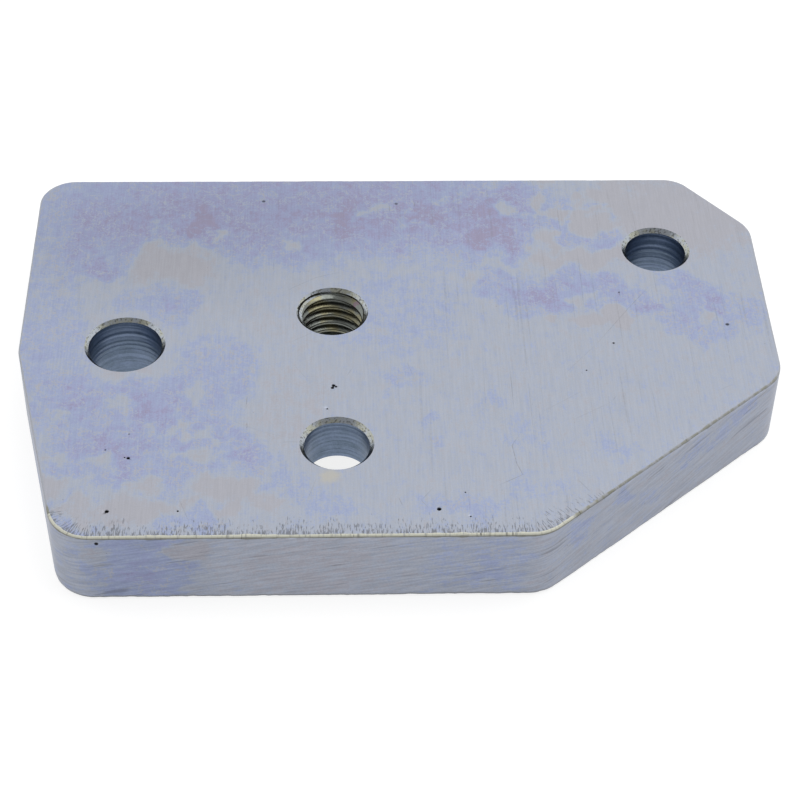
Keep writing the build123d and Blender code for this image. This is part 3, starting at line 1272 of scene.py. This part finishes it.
class Effects:
    """The shader node groups that the finishes share, each built once."""

    def __init__(self) -> None:
        """Build every group."""
        self.break_up = self.build_break_up()
        self.film_colour = self.build_film_colour(FilmColours())
        self.streaks = self.build_streaks()
        self.specks = self.build_specks()

    @staticmethod
    def build_break_up() -> bpy.types.NodeTree:
        """Ragged edges and fine grain for the film: noise added to its thickness.

        At is in millimetres, and Strength scales what is added: blotches and grain, which are
        calmer over plain metal, streaks drawn out along the second axis, and thin veins where
        the film is thick.
        """
        inputs = {"At": "Vector", "Film": "Float", "Strength": "Float"}
        bench, entry, result = new_group("film_break_up", inputs, {"Film": "Float"})
        at, film = entry["At"], entry["Film"]
        off_plain = bench.math("ABSOLUTE", bench.minus(film, PLAIN_FILM))
        calm = bench.ramp(off_plain, 0.0, 0.16, 0.55, 1.0)
        blotch = bench.times(bench.swing(bench.noise(at, 0.60, 6.0, 0.72), 1.15), calm)
        grain = bench.times(bench.swing(bench.noise(at, 3.1, 4.0, 0.7), 0.92), calm)
        crack = bench.math("ABSOLUTE", bench.minus(bench.noise(at, 0.50, 4.0, 0.6), 0.5))
        crack = bench.ramp(crack, 0.020, 0.004, 0.0, -0.52)
        crack = bench.times(crack, bench.ramp(film, 0.36, 0.48))
        patchy = bench.ramp(bench.noise(at, 0.16, 2.0), 0.36, 0.48)
        blotch = bench.plus(bench.plus(blotch, grain), bench.times(crack, patchy))
        drawn = bench.swing(bench.noise(bench.place(at, (1.0, 0.10, 1.0)), 3.0, 3.0, 0.6), 0.36)
        added = bench.times(bench.plus(blotch, drawn), entry["Strength"])
        total_film = bench.plus(film, added)
        bench.tree.links.new(total_film, result["Film"])
        return bench.tree

    @staticmethod
    def build_film_colour(colours: FilmColours) -> bpy.types.NodeTree:
        """The film's colour for its thickness, darkened by Shade, the painted shade of the walls and
        of the back left of the top face.
        """
        inputs = {"Film": "Float", "Shade": "Float"}
        bench, entry, result = new_group("film_colour", inputs, {"Color": "Color"})
        ramp = bench.node("ShaderNodeValToRGB", {"Fac": entry["Film"]})
        elements = ramp.color_ramp.elements
        for number, (place, colour) in enumerate(colours.stops):
            element = elements[number] if number < 2 else elements.new(place)
            element.position = place
            element.color = (*(part * colours.lightness for part in colour), 1.0)
        dark = bench.shaded(ramp.outputs[0], bench.minus(1.0, entry["Shade"]))
        bench.tree.links.new(dark, result["Color"])
        return bench.tree

    @staticmethod
    def build_streaks() -> bpy.types.NodeTree:
        """Fine parallel tool or grinding marks along the second axis of At.

        Fine runs from 0 to 1 across the marks, and Line is a mask of the few deep ones.
        """
        inputs = {"At": "Vector", "Pitch": "Float", "Stretch": "Float"}
        bench, entry, result = new_group("streaks", inputs, {"Fine": "Float", "Line": "Float"})
        along = bench.math("DIVIDE", 1.0, entry["Stretch"])
        scale = bench.node("ShaderNodeCombineXYZ", {0: 1.0, 1: along, 2: 1.0}).outputs[0]
        drawn = bench.vector("MULTIPLY", entry["At"], scale)
        per_mm = bench.math("DIVIDE", 1.0, entry["Pitch"])
        fine = bench.node(
            "ShaderNodeTexNoise", {"Vector": drawn, "Scale": per_mm, "Detail": 3.0}
        ).outputs[0]
        shifted = bench.vector("ADD", drawn, (37.0, 11.0, 0.0))
        sparse = bench.node(
            "ShaderNodeTexNoise",
            {"Vector": shifted, "Scale": bench.times(per_mm, 0.5), "Detail": 2.0},
        ).outputs[0]
        line = bench.ramp(sparse, 0.64, 0.70)
        bench.tree.links.new(fine, result["Fine"])
        bench.tree.links.new(line, result["Line"])
        return bench.tree

    @staticmethod
    def build_specks() -> bpy.types.NodeTree:
        """Small dark specks of bare metal, so many to the millimetre."""
        inputs = {"At": "Vector", "Density": "Float", "Level": "Float"}
        bench, entry, result = new_group("specks", inputs, {"Mask": "Float"})
        grain = bench.node(
            "ShaderNodeTexNoise",
            {"Vector": entry["At"], "Scale": entry["Density"], "Detail": 3.0, "Roughness": 0.6},
        ).outputs[0]
        high = bench.plus(entry["Level"], 0.05)
        bench.tree.links.new(bench.ramp(grain, entry["Level"], high), result["Mask"])
        return bench.tree


@dataclass(frozen=True)
class Finish:
    """What every finish has: the shader's plain numbers and the way to start its material."""

    name: str
    metallic: float = 1.0
    roughness: float = 0.35

    def start(self) -> tuple[bpy.types.Material, Bench, Any, Socket]:
        """Make the material.

        Returns:
            The material, a bench on its tree, its shader, and coordinates in millimetres.
        """
        material = bpy.data.materials.new(self.name)
        material.use_nodes = True
        bench = Bench(material.node_tree)
        shader = material.node_tree.nodes["Principled BSDF"]
        shader.inputs["Metallic"].default_value = self.metallic
        shader.inputs["Roughness"].default_value = self.roughness
        place = bench.node("ShaderNodeTexCoord").outputs["Object"]
        return material, bench, shader, bench.vector("MULTIPLY", place, (1.0 / MM,) * 3)

    @staticmethod
    def connect(bench: Bench, shader: Any, **inputs: Socket) -> None:
        """Wire sockets to the shader's inputs, with spaces for underscores in their names."""
        for name, socket in inputs.items():
            bench.tree.links.new(socket, shader.inputs[name.replace("_", " ")])


def use(bench: Bench, group: bpy.types.NodeTree, inputs: dict[str, Any]) -> Any:
    """Place a shared effect in a material and return its outputs."""
    made = bench.tree.nodes.new("ShaderNodeGroup")
    made.node_tree = group
    for key, value in inputs.items():
        bench.feed(made.inputs[key], value)
    return made.outputs


def run_coordinates(bench: Bench) -> Socket:
    """Distance round and height, in millimetres, as the mesh's run layer holds them."""
    return bench.node("ShaderNodeUVMap", uv_map="run").outputs[0]


def bump(bench: Bench, height: Socket, depth: float) -> Socket:
    """A normal from a height between 0 and 1 that is so many millimetres deep."""
    inputs = {"Height": height, "Distance": depth * MM, "Strength": 1.0}
    return bench.node("ShaderNodeBump", inputs).outputs[0]


# The small cream stain on the top face, and the pit high up in the front wall.
OIL_STAIN_AT = (44.0, 10.9)
WALL_PIT_AT = (13.6, 0.0)
WALL_PIT_DROP = 1.1


@dataclass(frozen=True)
class FaceFinish(Finish):
    """The ground top face and underside: clouds of film, grinding lines, scratches, burrs."""

    scratch_colour: Colour = (0.20, 0.20, 0.22)
    pit_colour: Colour = (0.010, 0.010, 0.012)
    burr_colour: Colour = (0.13, 0.135, 0.15)
    stain_colour: Colour = (0.50, 0.47, 0.38)
    long_line_strength: tuple[float, float] = (0.06, 0.22)

    def build(self, effects: Effects) -> bpy.types.Material:
        """Put the material together."""
        material, bench, shader, at = self.start()
        film = bench.attribute("film")
        ragged = use(bench, effects.break_up, {"At": at, "Film": film, "Strength": 1.0})["Film"]
        # Painted shade of the top face, from the shade attribute.
        shade = bench.attribute("shade")
        inputs = {"Film": ragged, "Shade": shade}
        colour = use(bench, effects.film_colour, inputs)["Color"]
        lines = use(bench, effects.streaks, {"At": at, "Pitch": 0.21, "Stretch": 26.0})
        fine = bench.ramp(lines["Fine"], 0.3, 0.7, 0.965, 1.03)
        grain = bench.ramp(bench.noise(at, 5.0, 3.0, 0.7), 0.3, 0.7, 0.965, 1.03)
        colour = bench.shaded(colour, bench.times(fine, grain))
        long_lines = use(bench, effects.streaks, {"At": at, "Pitch": 0.26, "Stretch": 44.0})
        along_x = bench.node("ShaderNodeSeparateXYZ", {0: at}).outputs["X"]
        right_half = bench.ramp(along_x, -8.0, 14.0, *self.long_line_strength)
        mark = bench.times(long_lines["Line"], right_half)
        mark = bench.math("MAXIMUM", mark, bench.attribute("groove"))
        broken = bench.ramp(bench.noise(at, 1.9, 2.0), 0.34, 0.56, 0.35, 1.0)
        mark = bench.times(mark, broken)
        colour = bench.mix(mark, colour, self.scratch_colour)
        burr = self.burr_mask(bench)
        colour = bench.mix(burr, colour, self.burr_colour)
        specks = use(bench, effects.specks, {"At": at, "Density": 2.2, "Level": 0.71})["Mask"]
        specks = bench.times(specks, 0.45)
        colour = bench.mix(specks, colour, self.scratch_colour)
        colour = bench.mix(self.oil_mask(bench, at), colour, self.stain_colour)
        pit = bench.ramp(bench.attribute("pit"), 0.0, 0.5)
        colour = bench.mix(pit, colour, self.pit_colour)
        satin = (self.roughness - 0.05, self.roughness + 0.06)
        rough = bench.ramp(bench.noise(at, 0.8, 4.0), 0.3, 0.7, *satin)
        height = bench.times(lines["Fine"], 0.6)
        height = bench.minus(height, bench.times(mark, 0.8))
        height = bench.minus(height, burr)
        normal = bump(bench, height, 0.004)
        self.connect(bench, shader, Base_Color=colour, Roughness=rough, Normal=normal)
        return material

    @staticmethod
    def burr_mask(bench: Bench) -> Socket:
        """Short dark marks that run in from the front and the diagonal edge.

        Noise drawn out across the edge, cut off higher the further in from the edge it is.
        """
        gap = bench.attribute("rim_gap")
        across = bench.times(gap, 0.17)
        station = bench.attribute("rim_station")
        drawn = bench.node("ShaderNodeCombineXYZ", {0: station, 1: across}).outputs[0]
        grain = bench.noise(drawn, 4.9, 3.0, 0.6)
        reach = bench.noise(drawn, 0.35, 1.0)
        limit = bench.math("MULTIPLY_ADD", gap, 0.060, 0.425)
        limit = bench.plus(limit, bench.swing(reach, -0.3))
        calm = bench.times(bench.minus(1.0, bench.attribute("burr")), 0.22)
        limit = bench.plus(limit, calm)
        over = bench.minus(grain, limit)
        mask = bench.ramp(over, 0.0, 0.10)
        strength = bench.times(bench.attribute("burr"), 0.72)
        return bench.math("MULTIPLY", mask, strength, clamp=True)

    @staticmethod
    def oil_mask(bench: Bench, at: Socket) -> Socket:
        """The small cream stain in front of the countersunk hole: a soft-edged teardrop."""
        centre = (*plan(*OIL_STAIN_AT), THICKNESS)
        wobble = bench.swing(bench.noise(at, 0.9, 3.0), 1.6)
        away = bench.vector("DISTANCE", at, centre, output=1)
        return bench.ramp(bench.plus(away, wobble), 1.9, 0.6, 0.0, 0.6)


@dataclass(frozen=True)
class SideFinish(Finish):
    """The milled sides: the same film, duller and darkened by painted shade, with slanting cutter
    streaks.
    """

    streak_turn: float = -11.0
    # A slight blue tint that also darkens the sides a little more, as part of their painted shade.
    cast: Colour = (0.975, 0.975, 0.995)
    mark_colour: Colour = (0.10, 0.10, 0.11)
    pit_colour: Colour = (0.012, 0.012, 0.014)

    def build(self, effects: Effects) -> bpy.types.Material:
        """Put the material together."""
        material, bench, shader, at = self.start()
        run = run_coordinates(bench)
        film = bench.attribute("film")
        slanted = bench.place(run, (0.16, 1.0, 1.0), self.streak_turn)
        drawn = bench.noise(slanted, 1.6, 4.0, 0.62)
        film = bench.plus(film, bench.swing(drawn, 0.62))
        inputs = {"At": bench.place(run, (0.55, 1.0, 1.0)), "Film": film, "Strength": 0.7}
        ragged = use(bench, effects.break_up, inputs)["Film"]
        # Painted shade of the walls, from the shade attribute.
        inputs = {"Film": ragged, "Shade": bench.attribute("shade")}
        colour = use(bench, effects.film_colour, inputs)["Color"]
        turned = bench.place(run, (1.0, 1.0, 1.0), self.streak_turn + 90.0)
        lines = use(bench, effects.streaks, {"At": turned, "Pitch": 0.34, "Stretch": 14.0})
        tone = bench.ramp(lines["Fine"], 0.3, 0.7, 0.90, 1.08)
        grain = bench.ramp(bench.noise(at, 3.5, 3.0, 0.7), 0.3, 0.7, 0.95, 1.05)
        colour = bench.shaded(colour, bench.times(tone, grain))
        specks = use(bench, effects.specks, {"At": at, "Density": 1.6, "Level": 0.70})["Mask"]
        marks = bench.math("MAXIMUM", bench.times(lines["Line"], 0.35), bench.times(specks, 0.6))
        colour = bench.mix(marks, colour, self.mark_colour)
        pit_at = (*plan(*WALL_PIT_AT), THICKNESS - WALL_PIT_DROP)
        pit = bench.ramp(bench.vector("DISTANCE", at, pit_at, output=1), 0.34, 0.2)
        colour = bench.mix(pit, colour, self.pit_colour)
        colour = bench.mix(1.0, colour, self.cast, blend="MULTIPLY")
        normal = bump(bench, lines["Fine"], 0.006)
        self.connect(bench, shader, Base_Color=colour, Normal=normal)
        return material


@dataclass(frozen=True)
class EdgeFinish(Finish):
    """The broken edges: cream-coloured zinc over burrs, with dark nicks, and painted shade low on
    them where they turn into the wall.
    """

    cream: Colour = (0.68, 0.68, 0.58)
    olive: Colour = (0.28, 0.28, 0.23)
    grey: Colour = (0.40, 0.42, 0.47)
    # Painted shade low on the broken edge, where it turns into the wall.
    crease_shade: Colour = (0.16, 0.16, 0.15)
    nick: Colour = (0.05, 0.05, 0.05)

    def build(self, effects: Effects) -> bpy.types.Material:
        """Put the material together."""
        material, bench, shader, at = self.start()
        run = run_coordinates(bench)
        along = bench.place(run, (1.0, 0.25, 1.0))
        burr = bench.attribute("burr")
        some = bench.ramp(burr, 0.1, 0.4)
        uneven = bench.ramp(bench.noise(along, 1.7, 3.0, 0.6), 0.28, 0.50)
        patchy = bench.ramp(bench.noise(along, 0.9, 3.0, 0.6), 0.42, 0.56, 0.25, 1.0)
        plain = bench.mix(bench.times(some, patchy), self.grey, self.olive)
        burred = bench.times(bench.ramp(burr, 0.72, 0.95), uneven)
        colour = bench.mix(burred, plain, self.cream)
        height = bench.node("ShaderNodeSeparateXYZ", {0: at}).outputs["Z"]
        # Painted shade: where there are burrs, the lower part of the broken edge is painted dark
        # where it turns into the wall.
        below = bench.ramp(height, THICKNESS - 0.17, THICKNESS - 0.24, 0.0, 0.75)
        colour = bench.mix(bench.times(below, some), colour, self.crease_shade)
        nicks = use(bench, effects.specks, {"At": along, "Density": 1.7, "Level": 0.62})["Mask"]
        nicks = bench.times(nicks, bench.math("MULTIPLY_ADD", burr, 0.6, 0.2))
        colour = bench.mix(nicks, colour, self.nick)
        normal = bump(bench, bench.noise(along, 4.0, 3.0), 0.02)
        self.connect(bench, shader, Base_Color=colour, Normal=normal)
        return material


@dataclass(frozen=True)
class BoreFinish(Finish):
    """The drilled walls: slate blue, ringed by the drill's feed, with every colour painted darker as
    painted shade inside the holes.
    """

    # Slate blue plating; all three colours are painted darker, as painted shade inside the holes.
    slate: Colour = (0.125, 0.168, 0.225)
    pale: Colour = (0.200, 0.255, 0.365)
    dark: Colour = (0.045, 0.060, 0.075)

    def build(self, effects: Effects) -> bpy.types.Material:
        """Put the material together."""
        material, bench, shader, at = self.start()
        run = run_coordinates(bench)
        rings = bench.noise(bench.place(run, (0.05, 1.0, 1.0), 1.5), 1.5, 4.0, 0.65)
        cloud = bench.noise(at, 0.6, 4.0, 0.6)
        both = bench.math("MULTIPLY_ADD", rings, 0.7, bench.times(cloud, 0.3))
        colour = bench.mix(bench.ramp(both, 0.36, 0.64), self.slate, self.pale)
        rings = bench.noise(bench.place(run, (0.02, 1.0, 1.0)), 3.4, 2.0)
        lines = bench.ramp(rings, 0.62, 0.72, 0.0, 0.55)
        colour = bench.mix(lines, colour, self.dark)
        grain = bench.ramp(bench.noise(at, 4.0, 3.0, 0.7), 0.3, 0.7, 0.9, 1.1)
        colour = bench.shaded(colour, grain)
        normal = bump(bench, bench.noise(bench.place(run, (0.03, 1.0, 1.0)), 3.0, 3.0), 0.02)
        self.connect(bench, shader, Base_Color=colour, Normal=normal)
        return material


@dataclass(frozen=True)
class ChamferFinish(Finish):
    """The countersunk mouths: bright silver with yellow-green tints and brown-black specks."""

    silver: Colour = (0.42, 0.455, 0.50)
    tint: Colour = (0.42, 0.43, 0.37)
    speck: Colour = (0.06, 0.055, 0.045)

    def build(self, effects: Effects) -> bpy.types.Material:
        """Put the material together."""
        material, bench, shader, at = self.start()
        tint = bench.ramp(bench.noise(at, 0.55, 3.0, 0.6), 0.46, 0.62)
        colour = bench.mix(tint, self.silver, self.tint)
        specks = use(bench, effects.specks, {"At": at, "Density": 3.0, "Level": 0.55})["Mask"]
        colour = bench.mix(bench.times(specks, 0.62), colour, self.speck)
        normal = bump(bench, bench.noise(at, 2.5, 3.0), 0.03)
        self.connect(bench, shader, Base_Color=colour, Normal=normal)
        return material


@dataclass(frozen=True)
class ThreadFinish(Finish):
    """The tapped thread: grey zinc with yellow and pink in places."""

    grey: Colour = (0.20, 0.215, 0.20)
    yellow: Colour = (0.25, 0.235, 0.15)
    pink: Colour = (0.23, 0.17, 0.20)

    def build(self, effects: Effects) -> bpy.types.Material:
        """Put the material together."""
        material, bench, shader, at = self.start()
        yellow = bench.ramp(bench.noise(at, 0.28, 2.0), 0.46, 0.60)
        pink = bench.ramp(bench.noise(at, 0.45, 2.0), 0.60, 0.68)
        colour = bench.mix(yellow, self.grey, self.yellow)
        colour = bench.mix(pink, colour, self.pink)
        grain = bench.ramp(bench.noise(at, 5.0, 3.0, 0.7), 0.3, 0.7, 0.85, 1.12)
        colour = bench.shaded(colour, grain)
        normal = bump(bench, bench.noise(at, 4.0, 3.0), 0.015)
        self.connect(bench, shader, Base_Color=colour, Normal=normal)
        return material


@dataclass(frozen=True)
class MountingBlock:
    """The block itself: its shape, dressed in a finish for each kind of surface."""

    shape: BlockShape
    finishes: dict[Surface, Finish]

    def build(self, effects: Effects) -> bpy.types.Object:
        """Make the piece, dress it, and set it on the frame in place of the CAD node."""
        piece = self.shape.build("zinc_plated_block")
        for surface in Surface:
            material = self.finishes[surface].build(effects)
            piece.data.materials.append(material)
            LOG.info("finish %s on %s", material.name, surface.name.lower())
        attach(piece, "root")
        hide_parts(NODE)
        return piece


# --- Studio --------------------------------------------------------------------------------------


# How far the floor lies below the underside, in metres, so that the two don't flicker.
FLOOR_GAP = 0.00002


@dataclass(frozen=True)
class Studio:
    """A pale floor, soft light all round with a dim side behind the camera, and a lamp above."""

    floor_half: float = 2.5
    floor_glow: float = 0.80
    floor_albedo: float = 0.34
    sky: float = 1.05
    dim: float = 0.40
    lamp_power: float = 1.5
    lamp_size: float = 0.6
    lamp_at: tuple[float, float, float] = (0.25, 0.05, 0.80)

    def build(self) -> None:
        """Set up everything that isn't the object."""
        self.build_floor()
        self.build_world()
        self.build_lamp()

    def build_floor(self) -> None:
        """The floor: white to the camera and in reflections, and still darker in shadow.

        From below it is clear, so that the underside can be looked at.
        """
        half = self.floor_half
        mesh = bpy.data.meshes.new("floor")
        corners = [(-half, -half, 0.0), (half, -half, 0.0), (half, half, 0.0), (-half, half, 0.0)]
        mesh.from_pydata(corners, [], [(0, 1, 2, 3)])
        floor = bpy.data.objects.new("floor", mesh)
        bpy.context.scene.collection.objects.link(floor)
        floor.location.z = -FLOOR_GAP
        material = bpy.data.materials.new("studio_floor")
        material.use_nodes = True
        tree = material.node_tree
        tree.nodes.clear()
        bench = Bench(tree)
        rays = bench.node("ShaderNodeLightPath").outputs
        seen = bench.math("MAXIMUM", rays["Is Camera Ray"], rays["Is Glossy Ray"])
        seen = bench.math("MAXIMUM", seen, rays["Is Transmission Ray"])
        glow = bench.times(seen, self.floor_glow)
        white = bench.node("ShaderNodeEmission", {"Color": (1.0, 1.0, 1.0, 1.0), "Strength": glow})
        grey = (self.floor_albedo, self.floor_albedo, self.floor_albedo, 1.0)
        matt = bench.node("ShaderNodeBsdfDiffuse", {"Color": grey})
        lit = bench.node("ShaderNodeAddShader", {0: white.outputs[0], 1: matt.outputs[0]})
        clear = bench.node("ShaderNodeBsdfTransparent")
        back = bench.node("ShaderNodeNewGeometry").outputs["Backfacing"]
        both = bench.node("ShaderNodeMixShader", {0: back, 1: lit.outputs[0], 2: clear.outputs[0]})
        bench.node("ShaderNodeOutputMaterial", {"Surface": both.outputs[0]})
        mesh.materials.append(material)

    def build_world(self) -> None:
        """Soft light from everywhere, dimmer towards the front of the block and half way up."""
        world = bpy.data.worlds.new("studio")
        bpy.context.scene.world = world
        world.use_nodes = True
        bench = Bench(world.node_tree)
        background = world.node_tree.nodes["Background"]
        towards = bench.node("ShaderNodeTexCoord").outputs["Generated"]
        facing = bench.vector("DOT_PRODUCT", towards, (0.0, -0.72, 0.694), output=1)
        level = bench.ramp(facing, 0.30, 0.85, self.sky, self.dim)
        seen = bench.node("ShaderNodeLightPath").outputs["Is Camera Ray"]
        level = bench.math("MAXIMUM", level, seen)
        bench.feed(background.inputs["Color"], bench.grey(level))
        background.inputs["Strength"].default_value = 1.0

    def build_lamp(self) -> None:
        """One large soft lamp above the right end."""
        lamp = bpy.data.lights.new("softbox", "AREA")
        lamp.shape = "DISK"
        lamp.size = self.lamp_size
        lamp.energy = self.lamp_power
        holder = bpy.data.objects.new("softbox", lamp)
        holder.location = self.lamp_at
        holder.rotation_euler = (-holder.location).to_track_quat("-Z", "Y").to_euler()
        bpy.context.scene.collection.objects.link(holder)


@dataclass(frozen=True)
class Viewpoint:
    """The camera: what it looks at, from which way, and how far off.

    Attributes:
        target: the point on the top face that it looks at, in millimetres.
        elevation: degrees above the horizon.
        swing: degrees that the camera stands round to the left of straight in front.
        roll: degrees that it is turned about its own line of sight.
        distance: millimetres from the target.
        lens: focal length.
        sensor: width of the sensor.
    """

    target: tuple[float, float, float] = (-0.203, -11.952, 12.0)
    elevation: float = 43.632
    swing: float = 2.501
    roll: float = 1.342
    distance: float = 299.6
    lens: float = 97.13
    sensor: float = 36.0

    def build(self) -> None:
        """Place the camera and make it the scene's."""
        camera = bpy.data.cameras.new("camera")
        camera.sensor_width = self.sensor
        camera.lens = self.lens
        camera.clip_start = 0.01
        holder = bpy.data.objects.new("camera", camera)
        turn = Matrix.Rotation(math.radians(-self.swing), 4, "Z")
        tip = Matrix.Rotation(math.radians(90.0 - self.elevation), 4, "X")
        roll = Matrix.Rotation(math.radians(self.roll), 4, "Z")
        back = Matrix.Translation((0.0, 0.0, self.distance * MM))
        aim = Matrix.Translation(Vector(self.target) * MM)
        holder.matrix_world = aim @ turn @ tip @ roll @ back
        bpy.context.scene.collection.objects.link(holder)
        bpy.context.scene.camera = holder


def drilled(kind: type[Bore], name: str, top: float, low: float, **details: Any) -> Bore:
    """The hole of a mount, with cones of these depths at its top and low mouths."""
    return kind(hole_at(name), mount(name)["dims"]["r_mm"], top, low, **details)


def bores() -> tuple[Bore, ...]:
    """The four holes, from the record's mounts; the tapped one comes last."""
    left, right, tapped = map(even_mouth, ("left_bolt_hole", "right_bolt_hole", "tapped_hole"))
    front = "front_countersunk_hole"
    countersink = THICKNESS - right - mount(front)["dims"]["length_mm"]
    return (
        drilled(Bore, "left_bolt_hole", left, left, seed=3),
        drilled(Bore, "right_bolt_hole", right, right, seed=8),
        drilled(Bore, front, right, countersink, rows=44, mouth_rows=8, seed=13),
        drilled(TappedBore, "tapped_hole", tapped, tapped),
    )


FINISHES = {
    Surface.FACE: FaceFinish("zinc_ground_face", metallic=0.72, roughness=0.40),
    Surface.SIDE: SideFinish("zinc_milled_side", metallic=0.9, roughness=0.42),
    Surface.BROKEN_EDGE: EdgeFinish("zinc_broken_edge", metallic=0.15, roughness=0.55),
    Surface.BORE: BoreFinish("zinc_drilled_bore", roughness=0.33),
    Surface.CHAMFER: ChamferFinish("zinc_countersunk_mouth", roughness=0.2),
    Surface.THREAD: ThreadFinish("zinc_tapped_thread", roughness=0.26),
}


def main() -> None:
    """Build the block, the studio and the camera, in that order."""
    logging.basicConfig(level=logging.INFO, format="%(name)s: %(message)s")
    effects = Effects()
    shape = BlockShape(Edge(), bores())
    MountingBlock(shape, FINISHES).build(effects)
    Studio().build()
    Viewpoint().build()
    scene = bpy.context.scene
    scene.view_settings.view_transform = "Standard"


if __name__ == "__main__":
    main()
